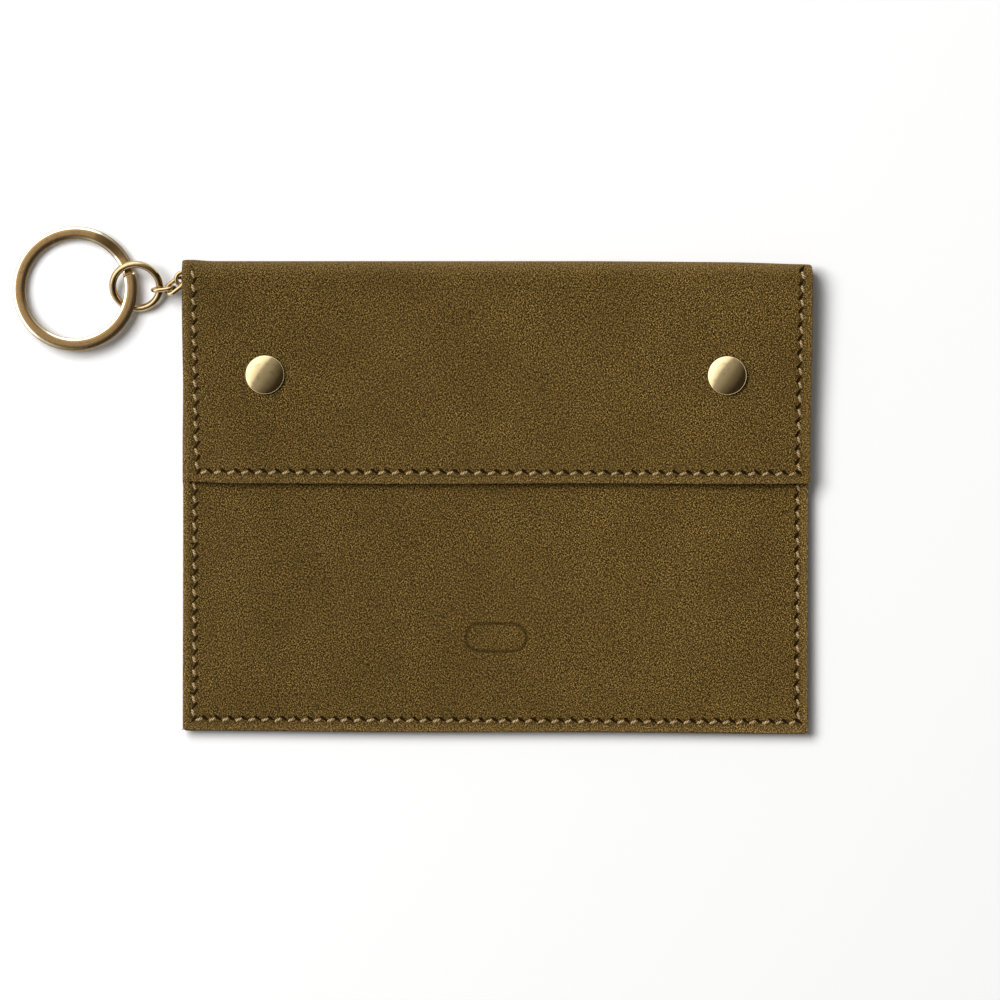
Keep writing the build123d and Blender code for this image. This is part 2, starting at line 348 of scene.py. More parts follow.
def build_front():
    xs = lines(-80, 80, GRID, EDGE_GRID, EDGE_BAND, extra=((-9.6, 10.2, 0.24),))
    ys = lines(FRONT_BOTTOM_Y, MOUTH_Y, GRID, EDGE_GRID, EDGE_BAND,
               extra=((-41.0, -31.0, 0.24),))
    u, v = np.meshgrid((xs + 80) / 160, ys)
    x = lerp(left_edge(np.minimum(v, 3.0)), right_edge(v), u)
    low = bottom_edge(x)
    y = MOUTH_Y - (MOUTH_Y - v) * (MOUTH_Y - low) / (MOUTH_Y - FRONT_BOTTOM_Y)
    # lower corners are cut round
    for side in (-1, 1):
        corner = np.hypot(np.maximum(side * x - 79.4, 0), np.maximum(low + 0.6 - y, 0))
        over = np.maximum(corner - 0.6, 0)
        x = x - side * over * 0.6
        y = y + over * 0.6
    z = front_top(x, y)
    seam = polyline_distance(x, y, BODY_SEAM)
    edge = np.minimum(x - left_edge(np.minimum(y, 3.0)), right_edge(y) - x)
    edge = np.minimum(edge, y - low)
    tones = {
        # rubbed margin, and painted light: the edge tone grows stronger towards the right
        "edge": smooth(1 - edge / EDGE_WEAR) * lerp(1.1, 1.3, smooth((x - 50) / 28)),
        # pressed suede along the seam and in the tooled ring, and painted shade in these dips
        "press": np.maximum(np.exp(-((seam / 0.7) ** 2)) * 0.55, mark_dip(x, y)),
    }
    obj = shell("front_suede", np.dstack([x, y, z]), np.dstack([x, y]), LEATHER, tones)
    inner_z = hump(x, y) - LEATHER - 0.03
    lining = shell("front_lining_cloth", np.dstack([x * 0.996, y - 0.2, inner_z]),
                   np.dstack([x, y]), LINING, {"edge": x * 0, "press": x * 0})
    return obj, lining


# ------------------------------------- back wall, fold and flap, one hide
BACK_LENGTH = FOLD_Y - BOTTOM_Y
FOLD_LENGTH = math.pi * FOLD_Z
FLAP_LENGTH = FOLD_Y - FLAP_EDGE
HIDE_CUTS = (BACK_LENGTH - 3.0, BACK_LENGTH + FOLD_LENGTH + 2.0)


def droop(x, y):
    """The flap's sides sink towards the thin stitched sides of the pouch."""
    out = smooth((np.abs(x) - 60.0) / 24.0)
    down = smooth((52.0 - y) / 40.0)
    near_fold = np.where(x > 0, 0.62, 0.0)
    return 3.1 * out * lerp(near_fold, 1.0, down)


def crease(x, y):
    """Small soft wrinkle on the right of the flap."""
    dx, dy = x - 53.5, y - 43.6
    along = dx * 0.8 + dy * 0.6
    across = -dx * 0.6 + dy * 0.8
    return np.exp(-((along / 2.6) ** 2) - ((across / 0.8) ** 2))


def flap_height(x, y):
    """Outer face of the closed flap, over the flat stretch."""
    seam = polyline_distance(x, y, FLAP_SEAM)
    edge = np.minimum(x - left_edge(y), flap_right_edge(y) - x)
    edge = np.minimum(edge, y - flap_free_edge(x))
    z = FLAP_Z - 0.05 + channel(seam) + roll_off(np.maximum(edge, 0)) - droop(x, y)
    z = z + 0.10 * ripple(x, y, 8, 55) * smooth((FOLD_Y - y) / 8)
    snap = np.minimum(np.hypot(x - SNAP_X, y - SNAP_Y), np.hypot(x + SNAP_X, y - SNAP_Y))
    z = z - 0.12 * np.exp(-(((snap - 5.6) / 1.0) ** 2))
    return z - 0.2 * crease(x, y)


def over_fold(x, y):
    """Height of the hide anywhere on its upper side, fold included."""
    on_fold = FOLD_Z + np.sqrt(np.maximum(FOLD_Z ** 2 - np.maximum(y - FOLD_Y, 0) ** 2, 0))
    on_fold = on_fold * (1 - droop(x, FOLD_Y) / FLAP_Z) + channel(polyline_distance(x, y, FLAP_SEAM))
    return np.where(y > FOLD_Y, on_fold, flap_height(x, np.minimum(y, FOLD_Y)))


def build_wrap():
    xs = lines(-80, 80, GRID, EDGE_GRID, EDGE_BAND)
    back = lines(0, BACK_LENGTH, GRID, EDGE_GRID, EDGE_BAND)[:-1]
    back = back[back < BACK_LENGTH - 0.5]
    fold = np.linspace(BACK_LENGTH, BACK_LENGTH + FOLD_LENGTH, 37)
    flap = BACK_LENGTH + FOLD_LENGTH + lines(0.0, FLAP_LENGTH, 1.3, EDGE_GRID, EDGE_BAND)[1:]
    s = np.concatenate([back, fold, flap])
    u, v = np.meshgrid((xs + 80) / 160, s)
    turn = np.clip((v - BACK_LENGTH) / FOLD_LENGTH, 0, 1) * math.pi
    on_back, on_flap = v < BACK_LENGTH, v > BACK_LENGTH + FOLD_LENGTH
    share = np.clip((v - BACK_LENGTH - FOLD_LENGTH) / FLAP_LENGTH, 0, 1)
    upper = smooth(turn / math.pi)
    y_mid = np.where(on_back, v + BOTTOM_Y, FOLD_Y + FOLD_Z * np.sin(turn))
    y_mid = np.where(on_flap, FOLD_Y - share * FLAP_LENGTH, y_mid)
    right = lerp(right_edge(y_mid), flap_right_edge(np.minimum(y_mid, FOLD_Y)), upper)
    left = lerp(left_edge(np.minimum(y_mid, 3.0)), left_edge(np.clip(y_mid, 3.4, FOLD_Y)), upper)
    x = lerp(left, right, u)
    low = bottom_edge(x)
    y_back = FOLD_Y - (FOLD_Y - y_mid) * (FOLD_Y - low) / BACK_LENGTH
    y_flap = FOLD_Y - share * (FOLD_Y - flap_free_edge(x))
    y = np.where(on_back, y_back, np.where(on_flap, y_flap, y_mid))
    # the fold stands out a little at its left end and less at its right end
    ends = 0.35 * smooth((-x - 72) / 6) - 0.35 * smooth((x - 20) / 60) - 0.45 * smooth((x - 60) / 22)
    y = y + np.sin(turn) * ends
    seam = np.where(on_back, polyline_distance(x, y, BODY_SEAM), polyline_distance(x, y, FLAP_SEAM))
    edge = np.minimum(x - left, right - x)
    edge = np.where(on_back, np.minimum(edge, y - low), edge)
    edge = np.where(on_flap, np.minimum(edge, y - flap_free_edge(x)), edge)
    z_back = back_lift(x, y) - channel(seam, 0.12) - roll_off(np.maximum(edge, 0), 0.9, 0.2)
    z_flap = flap_height(x, y)
    z_fold = FOLD_Z - FOLD_Z * np.cos(turn)
    dent = channel(seam) * smooth((turn - 1.9) / 0.6) + roll_off(np.maximum(edge, 0)) * 0.6
    z_fold = z_fold * (1 - droop(x, FOLD_Y) / FLAP_Z) + dent * -np.cos(turn)
    y_fold = y + dent * np.sin(turn)
    z = np.where(on_back, z_back, np.where(on_flap, z_flap, z_fold))
    y = np.where(on_back | on_flap, y, y_fold)
    # corners are cut round
    for side in (-1, 1):
        for zone, limit in ((on_back, low), (on_flap, flap_free_edge(x))):
            bound = np.where(side < 0, -left, right)
            corner = np.hypot(np.maximum(side * x - bound + 0.6, 0), np.maximum(limit + 0.6 - y, 0))
            over = np.where(zone, np.maximum(corner - 0.6, 0), 0)
            x = x - side * over * 0.6
            y = y + over * 0.6
    # painted highlight: the top of the fold is painted lighter through the edge tone
    fold_top_highlight = smooth((2.95 - turn) / 1.3) * smooth((turn - 0.6) / 0.6)
    tones = {
        "edge": np.maximum(smooth(1 - edge / EDGE_WEAR) * 0.75, 0.85 * fold_top_highlight),
        # pressed suede along the seams, and painted shade in the flap's crease
        "press": np.exp(-((seam / 0.7) ** 2)) * 0.55 + 0.3 * crease(x, y) * on_flap,
    }
    grid = np.dstack([x, y, z])
    suede = cut_across(("back_suede", "fold_suede", "flap_suede"), len(s), len(xs),
                       sheet_mesh(grid, np.dstack([x, v]), LEATHER, tones, True), HIDE_CUTS)
    # lining follows one suede's thickness inside
    du, dv = np.gradient(grid, axis=1), np.gradient(grid, axis=0)
    normal = np.cross(dv, du)
    normal /= np.linalg.norm(normal, axis=2, keepdims=True)
    inner = grid - normal * (LEATHER + 0.02)
    mid = inner[:, len(xs) // 2:len(xs) // 2 + 1, 0]
    inner[:, :, 0] = mid + (inner[:, :, 0] - mid) * 0.996
    plain = {"edge": x * 0, "press": x * 0}
    cloth = cut_across(("back_lining_cloth", "fold_lining_cloth", "flap_lining_cloth"), len(s), len(xs),
                       sheet_mesh(inner, np.dstack([x, v]), LINING, plain, True), HIDE_CUTS)
    return suede, cloth


# ---------------------------------------------------------------- threads
def seam_points(path, pitch):
    """Evenly spaced points along each leg of a seam, with the seam's direction at each.
    The corners between two legs lie half way between stitches."""
    p = np.array(path, float)
    legs = np.diff(p, axis=0)
    length = np.linalg.norm(legs, axis=1)
    along = legs / length[:, None]
    corners = [i for i in range(1, len(legs)) if np.dot(along[i - 1], along[i]) < 0.7]
    out = []
    for first, last in zip([0] + corners, corners + [len(legs)]):
        reach = np.concatenate([[0], np.cumsum(length[first:last])])
        count = int(round(reach[-1] / pitch))
        for k in range(count):
            at = (k + 0.5) * reach[-1] / count
            i = min(np.searchsorted(reach, at) - 1, last - first - 1)
            out.append((p[first + i] + along[first + i] * (at - reach[i]), along[first + i]))
    return out


def turned(d, degrees):
    a = math.radians(degrees)
    return np.array([d[0] * math.cos(a) - d[1] * math.sin(a),
                     d[0] * math.sin(a) + d[1] * math.cos(a)])


def twisted_tube(line, radius, turns, sides=14, lobes=3, start=0.0):
    """Plied thread along a line: a lobed section that turns as it goes, closed ends.
    The third result is how far each point stands out on a ply, 0 in the groove."""
    line = np.asarray(line, float)
    n = len(line)
    tangent = np.gradient(line, axis=0)
    tangent /= np.linalg.norm(tangent, axis=1, keepdims=True)
    up = np.array([0.0, 0.0, 1.0])
    verts, crest = [], []
    for k in range(n):
        side = np.cross(tangent[k], up)
        if np.linalg.norm(side) < 0.2:
            side = np.cross(tangent[k], np.array([0.3, 1.0, 0.2]))
        side /= np.linalg.norm(side)
        over = np.cross(side, tangent[k])
        for j in range(sides):
            a = 2 * math.pi * j / sides
            ply = lobes * (a - start - turns * 2 * math.pi * k / (n - 1))
            out = abs(math.cos(ply / 2))
            r = radius * (0.76 + 0.24 * out)
            crest.append(out)
            verts.append(line[k] + side * r * math.cos(a) + over * r * math.sin(a))
    faces = []
    for k in range(n - 1):
        for j in range(sides):
            a, b = k * sides + j, k * sides + (j + 1) % sides
            faces.append((a, b, b + sides, a + sides))
    faces.append(tuple(range(sides))[::-1])
    faces.append(tuple((n - 1) * sides + j for j in range(sides)))
    return np.array(verts), faces, np.array(crest)


def join(parts):
    verts, faces, base = [], [], 0
    for v, f, *_ in parts:
        verts.append(v)
        faces += [tuple(i + base for i in q) for q in f]
        base += len(v)
    return np.vstack(verts), faces


def slot_mark(centre, direction, height, side, length, width):
    """Slanted awl slot: painted shade, a dark sheet lying on the suede for the shaded hole, pointed at both
    ends.
    """
    across = np.array([-direction[1], direction[0]])
    turn_round = np.linspace(0, 2 * math.pi, 14, endpoint=False)
    verts = []
    for scale, lift in ((1.0, 0.015), (0.7, 0.05), (0.3, 0.06)):
        long = length / 2 * scale * np.cos(turn_round)
        wide = width / 2 * scale * np.sin(turn_round) * (1 - 0.5 * np.cos(turn_round))
        x = centre[0] + direction[0] * long + across[0] * wide
        y = centre[1] + direction[1] * long + across[1] * wide
        verts += list(np.column_stack([x, y, height(x, y) + side * lift]))
    faces = []
    for ring in range(2):
        for k in range(14):
            a, b = ring * 14 + k, ring * 14 + (k + 1) % 14
            faces.append((a, b, b + 14, a + 14))
    faces.append(tuple(28 + k for k in range(14)))
    return np.array(verts), faces


def stitches(name, path, pitch, height, side, slant=21.0):
    """Saddle stitches on one face: every stitch leaves one slanted slot and enters the next."""
    threads, slots = [], []
    for point, along in seam_points(path, pitch):
        lean = turned(along, slant + RNG.uniform(-2, 2))
        long = 0.66 + RNG.uniform(-0.05, 0.05)
        pts = []
        for t in np.linspace(-1, 1, 17):
            x, y = point + lean * t * long * 1.18
            lift = THREAD_R * 0.55 - (abs(t) ** 3) * 0.62
            pts.append((x, y, height(x, y) + side * lift))
        threads.append(twisted_tube(pts, THREAD_R * RNG.uniform(0.96, 1.04), 0.85,
                                    start=RNG.uniform(0, 2)))
        inward = turned(along, 90)
        middle = point + along * pitch * 0.47 + inward * 0.34
        slots.append(slot_mark(middle, turned(along, -34), height, side, 2.3, 0.72))
    v, f = join(threads)
    thread = make_object(name, v, f)
    crest = thread.data.attributes.new("crest", "FLOAT", "POINT")
    crest.data.foreach_set("value", np.concatenate([t[2] for t in threads]).astype(np.float32))
    v, f = join(slots)
    hole = make_object(name + "_slots", v, f)
    return thread, hole


# ------------------------------------------------------------ turned metal
def turn(name, outline, centre, shaded_beyond, sides=72):
    """Turn an (r, z) outline round a vertical line; beyond one radius it is painted dark, tarnish and
    painted shade on the rim.
    """
    verts, faces, dull = [], [], []
    for r, z in outline:
        dull += [float(smooth((r - shaded_beyond) / 0.05))] * sides
        for k in range(sides):
            a = 2 * math.pi * k / sides
            verts.append((centre[0] + r * math.cos(a), centre[1] + r * math.sin(a), z))
    for i in range(len(outline) - 1):
        for k in range(sides):
            a, b = i * sides + k, i * sides + (k + 1) % sides
            faces.append((a, b, b + sides, a + sides))
    faces.append(tuple(range(sides))[::-1])
    faces.append(tuple((len(outline) - 1) * sides + k for k in range(sides)))
    obj = make_object(name, verts, faces)
    rim_tarnish_and_shade = obj.data.attributes.new("rim_tarnish_and_shade", "FLOAT", "POINT")
    rim_tarnish_and_shade.data.foreach_set("value", np.array(dull, np.float32))
    return obj


def cap_outline():
    """Plain domed snap cap with a short straight skirt that sinks into the suede."""
    pts = [(0.02, FLAP_Z + 1.95)]
    for t in np.linspace(0.06, 1, 20):
        r = 4.90 * t
        pts.append((r, FLAP_Z + 0.12 + 1.83 * math.sqrt(1 - (r / 5.6) ** 2)))
    pts += [(4.95, FLAP_Z + 0.93), (4.98, FLAP_Z + 0.84), (5.0, FLAP_Z + 0.72), (5.0, FLAP_Z + 0.05),
            (4.94, FLAP_Z - 0.1), (4.6, FLAP_Z - 0.18)]
    pts += [(1.4, FLAP_Z - 0.2), (1.4, PANEL_Z + 1.55), (2.0, PANEL_Z + 1.45), (1.9, PANEL_Z + 1.36),
            (0.02, PANEL_Z + 1.36)]
    return pts


def sweep_loop(name, line, section, ups):
    """Sweep a closed section round a closed line with given up directions."""
    line, ups = np.asarray(line, float), np.asarray(ups, float)
    n, m = len(line), len(section)
    tangent = np.roll(line, -1, axis=0) - np.roll(line, 1, axis=0)
    tangent /= np.linalg.norm(tangent, axis=1, keepdims=True)
    verts = []
    for k in range(n):
        up = ups[k] - tangent[k] * np.dot(ups[k], tangent[k])
        up /= np.linalg.norm(up)
        out = np.cross(tangent[k], up)
        for a, b in section:
            verts.append(line[k] + out * a + up * b)
    faces = []
    for k in range(n):
        for j in range(m):
            a, b = k * m + j, k * m + (j + 1) % m
            c, d = ((k + 1) % n) * m + (j + 1) % m, ((k + 1) % n) * m + j
            faces.append((a, b, c, d))
    return make_object(name, verts, faces)


def stance(centre, heading, pitch, roll):
    """Centre and axes of a ring or link: x along heading and pitch, y turned by roll."""
    h, p, r = (math.radians(v) for v in (heading, pitch, roll))
    along = np.array([math.cos(h) * math.cos(p), math.sin(h) * math.cos(p), math.sin(p)])
    level = np.array([-math.sin(h), math.cos(h), 0.0])
    across = level * math.cos(r) + np.cross(along, level) * math.sin(r)
    return np.array(centre, float), along, across, np.cross(along, across)


def circle(radius, sides):
    angles = [2 * math.pi * k / sides for k in range(sides)]
    return [(radius * math.cos(a), radius * math.sin(a)) for a in angles]


def build_link(name, place):
    """Oval link of round wire."""
    c, ax, ay, az = stance(*place)
    bend, half = 1.6, 1.15
    line = []
    for a in np.linspace(-math.pi / 2, math.pi / 2, 22):
        line.append((half + bend * math.cos(a), bend * math.sin(a)))
    for t in np.linspace(0.9, -0.9, 9):
        line.append((half * t, bend))
    for a in np.linspace(math.pi / 2, 1.5 * math.pi, 22):
        line.append((-half + bend * math.cos(a), bend * math.sin(a)))
    for t in np.linspace(-0.9, 0.9, 9):
        line.append((half * t, -bend))
    pts = [c + ax * x + ay * y for x, y in line]
    return sweep_loop(name, pts, circle(0.55, 18), [az] * len(pts))


def build_jump(name):
    """Closed ring of round wire."""
    c, ax, ay, az = stance((-92.05, 53.95, 3.67), 0, 4.82, 23.01)
    pts, ups = [], []
    for a in np.linspace(0, 2 * math.pi, 120, endpoint=False):
        pts.append(c + (ax * math.cos(a) + ay * math.sin(a)) * 6.07)
        ups.append(az)
    return sweep_loop(name, pts, circle(0.925, 28), ups)


def build_split(name):
    """Flat wire wound twice with a crossing, square-cut ends and bevelled edges."""
    c, ax, ay, az = stance((-107.79, 53.36, 2.73), 0, 2.99, -4.83)
    mid_r, width, thick, gap = 14.4, 3.2, 1.15, 0.05
    step = (thick + gap) / 2
    start, end = 75.0 - 360.0, 15.0 + 360.0
    w, t = width / 2, thick / 2
    # out, up and polish of the section, from the outer wall over the bevel to the flat face; the polished
    # bevels are also a painted highlight
    quarter = [(w, t - 0.55, 0), (w - 0.06, t - 0.44, 0), (w - 0.16, t - 0.35, 0),
               (w - 0.20, t - 0.33, 1), (w - 0.64, t - 0.060, 1), (w - 0.69, t - 0.028, 0),
               (w - 0.80, t, 0), (0.30, t, 0)]
    half = quarter + [(-p, q, tone) for p, q, tone in quarter[::-1]]
    section = half + [(p, -q, tone) for p, q, tone in half[::-1]]
    section = section[::-1]
    verts, faces = [], []
    angles = np.linspace(start, end, 330)
    for angle in angles:
        height = lerp(-step, step, smooth((angle - 33.0) / 37.0))
        a = math.radians(angle)
        out = ax * math.cos(a) + ay * math.sin(a)
        squeeze = 1 + 0.05 * math.exp(-(((angle - 52.0) / 16.0) ** 2))
        for p, q, _ in section:
            verts.append(c + out * (mid_r + p * squeeze) + az * (height + q))
    m = len(section)
    for k in range(len(angles) - 1):
        for j in range(m):
            p, q = k * m + j, k * m + (j + 1) % m
            faces.append((p, q, q + m, p + m))
    faces.append(tuple(range(m))[::-1])
    faces.append(tuple((len(angles) - 1) * m + j for j in range(m)))
    obj = make_object(name, verts, faces)
    polish_and_highlight = obj.data.attributes.new("polish_and_highlight", "FLOAT", "POINT")
    tones = [tone for _, _, tone in section]
    polish_and_highlight.data.foreach_set("value", np.tile(tones, len(angles)).astype(np.float32))
    return obj


def build_tab(name):
    """Suede tab that carries the chain, with rounded tip and punched hole."""
    lean = math.radians(17.8)
    along = np.array([-math.cos(lean), math.sin(lean), 0.0])
    side = np.array([math.sin(lean), math.cos(lean), 0.0])
    hole = np.array([-72.15, 55.7, 0.0])
    stations = np.concatenate([np.linspace(-13, -1.6, 30), np.linspace(-1.3, 2.3, 19)])
    parts = []
    half = 2.35

    def mid_height(s):
        return lerp(2.02, 5.1, smooth((s + 8.9) / 5.4))

    def outline(s):
        return half if s < 0.5 else max(0.35, math.sqrt(max(0.0, half ** 2 - ((s - 0.5) * 1.28) ** 2)))

    for branch in (-1, 1):
        rows = []
        for s in stations:
            inner = math.sqrt(max(0.0, 1.2 ** 2 - s * s)) if abs(s) < 1.2 else 0.0
            outer = outline(s)
            inner = min(inner, outer - 0.25)
            ring = []
            for t, z in ((0, -0.45), (0.04, -0.58), (0.5, -0.6), (0.96, -0.58), (1, -0.45), (1, 0.45),
                         (0.96, 0.58), (0.5, 0.6), (0.04, 0.58), (0, 0.45)):
                across = lerp(inner, outer, t) * branch
                ring.append(hole + along * s + side * across + np.array([0, 0, mid_height(s) + z]))
            rows.append(ring)
        v = np.array(rows).reshape(-1, 3)
        faces = []
        for i in range(len(stations) - 1):
            for j in range(10):
                a, b = i * 10 + j, i * 10 + (j + 1) % 10
                quad = (a, b, b + 10, a + 10)
                faces.append(quad if branch < 0 else quad[::-1])
        faces.append(tuple(range(10)))
        faces.append(tuple((len(stations) - 1) * 10 + j for j in range(10)))
        parts.append((v, faces))
    v, f = join(parts)
    obj = make_object(name, v, f)
    set_flat(obj, v[:, :2] + (0, 900), {"edge": np.full(len(v), 0.25), "press": np.zeros(len(v))})
    square = [(-11 + 1.3 * a, 1.4 * b) for a, b in ((-1, -1), (1, -1), (1, 1), (-1, 1), (-1, -1))]
    path = [tuple((hole + along * p + side * q)[:2]) for p, q in square]
    thread, slots = stitches("tab_thread", path, TAB_PITCH, lambda x, y: 2.62 + 0 * np.array(x), 1)
    return obj, thread, slots


# -------------------------------------------------------------- materials
def new_material(name):
    mat = bpy.data.materials.new(name)
    mat.use_nodes = True
    nodes = mat.node_tree.nodes
    return mat, nodes, mat.node_tree.links, nodes["Principled BSDF"]


def noise(nodes, links, vector, scale, detail=4.0, rough=0.55, stretch=None, turn_deg=0.0):
    n = nodes.new("ShaderNodeTexNoise")
    n.inputs["Scale"].default_value = scale
    n.inputs["Detail"].default_value = detail
    n.inputs["Roughness"].default_value = rough
    if stretch:
        m = nodes.new("ShaderNodeMapping")
        m.inputs["Rotation"].default_value = (0, 0, math.radians(turn_deg))
        m.inputs["Scale"].default_value = stretch
        links.new(vector, m.inputs["Vector"])
        links.new(m.outputs["Vector"], n.inputs["Vector"])
    else:
        links.new(vector, n.inputs["Vector"])
    return n.outputs["Fac"]


def ramp(nodes, links, value, stops):
    r = nodes.new("ShaderNodeValToRGB")
    for e, (place, colour) in zip(r.color_ramp.elements, (stops[0], stops[-1])):
        e.position, e.color = place, (*colour, 1)
    for place, colour in stops[1:-1]:
        e = r.color_ramp.elements.new(place)
        e.color = (*colour, 1)
    links.new(value, r.inputs["Fac"])
    return r.outputs["Color"]


def spread_value(nodes, links, value, a, b, lo=0.0, hi=1.0):
    m = nodes.new("ShaderNodeMapRange")
    m.inputs["From Min"].default_value, m.inputs["From Max"].default_value = a, b
    m.inputs["To Min"].default_value, m.inputs["To Max"].default_value = lo, hi
    links.new(value, m.inputs["Value"])
    return m.outputs["Result"]


def math_node(nodes, links, kind, a, b):
    m = nodes.new("ShaderNodeMath")
    m.operation = kind
    for socket, v in zip(m.inputs, (a, b)):
        if isinstance(v, (int, float)):
            socket.default_value = v
        else:
            links.new(v, socket)
    return m.outputs["Value"]


def mix(nodes, links, fac, a, b, kind="MIX"):
    m = nodes.new("ShaderNodeMix")
    m.data_type = "RGBA"
    m.blend_type = kind
    for socket, v in ((m.inputs[0], fac), (m.inputs[6], a), (m.inputs[7], b)):
        if isinstance(v, (int, float)):
            socket.default_value = v
        elif isinstance(v, tuple):
            socket.default_value = (*v, 1)
        else:
            links.new(v, socket)
    return m.outputs[2]


def attribute(nodes, name):
    a = nodes.new("ShaderNodeAttribute")
    a.attribute_name = name
    return a.outputs["Fac"]


def bump(nodes, links, bsdf, height, strength, distance):
    b = nodes.new("ShaderNodeBump")
    b.inputs["Strength"].default_value = strength
    b.inputs["Distance"].default_value = distance
    links.new(height, b.inputs["Height"])
    links.new(b.outputs["Normal"], bsdf.inputs["Normal"])


def suede_material():
    mat, nodes, links, bsdf = new_material("suede")
    uv = nodes.new("ShaderNodeUVMap")
    uv.uv_map = "hide"
    at = uv.outputs["UV"]
    grain = noise(nodes, links, at, 2900, 2, 0.75, (1.0, 1.25, 1.0), 40)
    fibre = noise(nodes, links, at, 4200, 2, 0.65, (1.0, 0.5, 1.0), -46)
    nap = noise(nodes, links, at, 700, 3, 0.65, (1.0, 0.38, 1.0), -42)
    cloud = noise(nodes, links, at, 55, 3, 0.55)
    mixed = math_node(nodes, links, "ADD", math_node(nodes, links, "MULTIPLY", grain, 0.6),
                      math_node(nodes, links, "MULTIPLY", fibre, 0.4))
    contrast = spread_value(nodes, links, mixed, 0.4577, 0.5423)
    colour = ramp(nodes, links, contrast, (
        (0.0, (0.0060, 0.0028, 0.0005)), (0.34, (0.038, 0.0210, 0.0042)),
        (0.64, (0.128, 0.0770, 0.0175)), (1.0, (0.400, 0.260, 0.072))))
    lighter = mix(nodes, links, spread_value(nodes, links, nap, 0.42, 0.68, 0.0, 0.34),
                  colour, (0.145, 0.090, 0.0235))
    darker = mix(nodes, links, spread_value(nodes, links, cloud, 0.35, 0.65, 0.22, 0.0),
                 lighter, (0.052, 0.030, 0.0060))
    # lighter colour at the raw edges: rubbed nap, and painted light where the edge tone carries it, towards
    # the front's right and on the fold's top
    rubbed_and_lit = mix(nodes, links, 1.0, darker, (1.62, 1.60, 1.85), "MULTIPLY")
    dusty_and_lit = mix(nodes, links, 0.12, rubbed_and_lit, (0.30, 0.215, 0.105))
    worn_and_painted_light = mix(nodes, links, math_node(nodes, links, "MULTIPLY", attribute(nodes, "edge"), 0.72),
               darker, dusty_and_lit)
    # darker where pressed: compressed suede, and painted shade in the seam channels, the tooled ring and
    # the crease
    pressed_and_shaded = mix(nodes, links, math_node(nodes, links, "MULTIPLY", attribute(nodes, "press"), 0.66),
                  worn_and_painted_light, (0.034, 0.0185, 0.0036))
    # tone fitted to the photo in its light, not known of the dye: a tint, and painted light, the hide
    # painted lighter towards the right
    across = nodes.new("ShaderNodeSeparateXYZ")
    links.new(at, across.inputs["Vector"])
    painted_light_right = spread_value(nodes, links, across.outputs["X"], -0.08, 0.08, 0.865, 1.10)
    warm = mix(nodes, links, 1.0, pressed_and_shaded, (1.07, 1.03, 0.965), "MULTIPLY")
    links.new(mix(nodes, links, 1.0, warm, painted_light_right, "MULTIPLY"), bsdf.inputs["Base Color"])
    links.new(spread_value(nodes, links, grain, 0.3, 0.7, 0.82, 0.98), bsdf.inputs["Roughness"])
    bsdf.inputs["Specular IOR Level"].default_value = 0.12
    bsdf.inputs["Sheen Weight"].default_value = 0.10
    bsdf.inputs["Sheen Roughness"].default_value = 0.5
    bsdf.inputs["Sheen Tint"].default_value = (0.62, 0.47, 0.27, 1)
    height = math_node(nodes, links, "ADD", contrast, math_node(nodes, links, "MULTIPLY", nap, 1.2))
    bump(nodes, links, bsdf, height, 0.9, 0.00024)
    return mat


def lining_material():
    mat, nodes, links, bsdf = new_material("lining")
    uv = nodes.new("ShaderNodeUVMap")
    uv.uv_map = "hide"
    at = uv.outputs["UV"]
    twill = nodes.new("ShaderNodeTexWave")
    twill.wave_type, twill.bands_direction = "BANDS", "DIAGONAL"
    twill.inputs["Scale"].default_value = 520
    twill.inputs["Distortion"].default_value = 0.6
    twill.inputs["Detail"].default_value = 2
    twill.inputs["Detail Scale"].default_value = 3
    links.new(at, twill.inputs["Vector"])
    slub = noise(nodes, links, at, 900, 3, 0.6, (0.15, 1.0, 1.0), 0)
    stain = noise(nodes, links, at, 40, 3, 0.5)
    base = ramp(nodes, links, twill.outputs["Fac"],
                ((0.1, (0.075, 0.052, 0.024)), (0.9, (0.215, 0.160, 0.090))))
    yarn = mix(nodes, links, spread_value(nodes, links, slub, 0.35, 0.65, 0, 0.4), base, (0.26, 0.20, 0.12))
    aged = mix(nodes, links, spread_value(nodes, links, stain, 0.4, 0.7, 0, 0.3), yarn, (0.09, 0.065, 0.03))
    links.new(aged, bsdf.inputs["Base Color"])
    links.new(spread_value(nodes, links, slub, 0.3, 0.7, 0.7, 0.92), bsdf.inputs["Roughness"])
    bsdf.inputs["Sheen Weight"].default_value = 0.25
    bump(nodes, links, bsdf, twill.outputs["Fac"], 0.5, 0.00012)
    return mat


def thread_material():
    mat, nodes, links, bsdf = new_material("thread")
    co = nodes.new("ShaderNodeTexCoord")
    at = co.outputs["Object"]
    fuzz = noise(nodes, links, at, 3600, 3, 0.6)
    tone = noise(nodes, links, at, 420, 2, 0.5)
    base = ramp(nodes, links, fuzz, ((0.25, (0.29, 0.178, 0.060)), (0.5, (0.63, 0.445, 0.205)),
                                     (0.72, (0.93, 0.75, 0.45))))
    dull = mix(nodes, links, spread_value(nodes, links, tone, 0.35, 0.7, 0, 0.45), base, (0.38, 0.25, 0.11))
    # painted shade: the grooves between the plies are painted dark
    groove = spread_value(nodes, links, attribute(nodes, "crest"), 0.35, 0.9, 0.95, 0.0)
    plied_with_groove_shade = mix(nodes, links, groove, dull, (0.060, 0.034, 0.010))
    links.new(plied_with_groove_shade, bsdf.inputs["Base Color"])
    links.new(spread_value(nodes, links, fuzz, 0.3, 0.7, 0.42, 0.72), bsdf.inputs["Roughness"])
    bsdf.inputs["Sheen Weight"].default_value = 0.2
    bump(nodes, links, bsdf, fuzz, 0.4, 0.00008)
    return mat


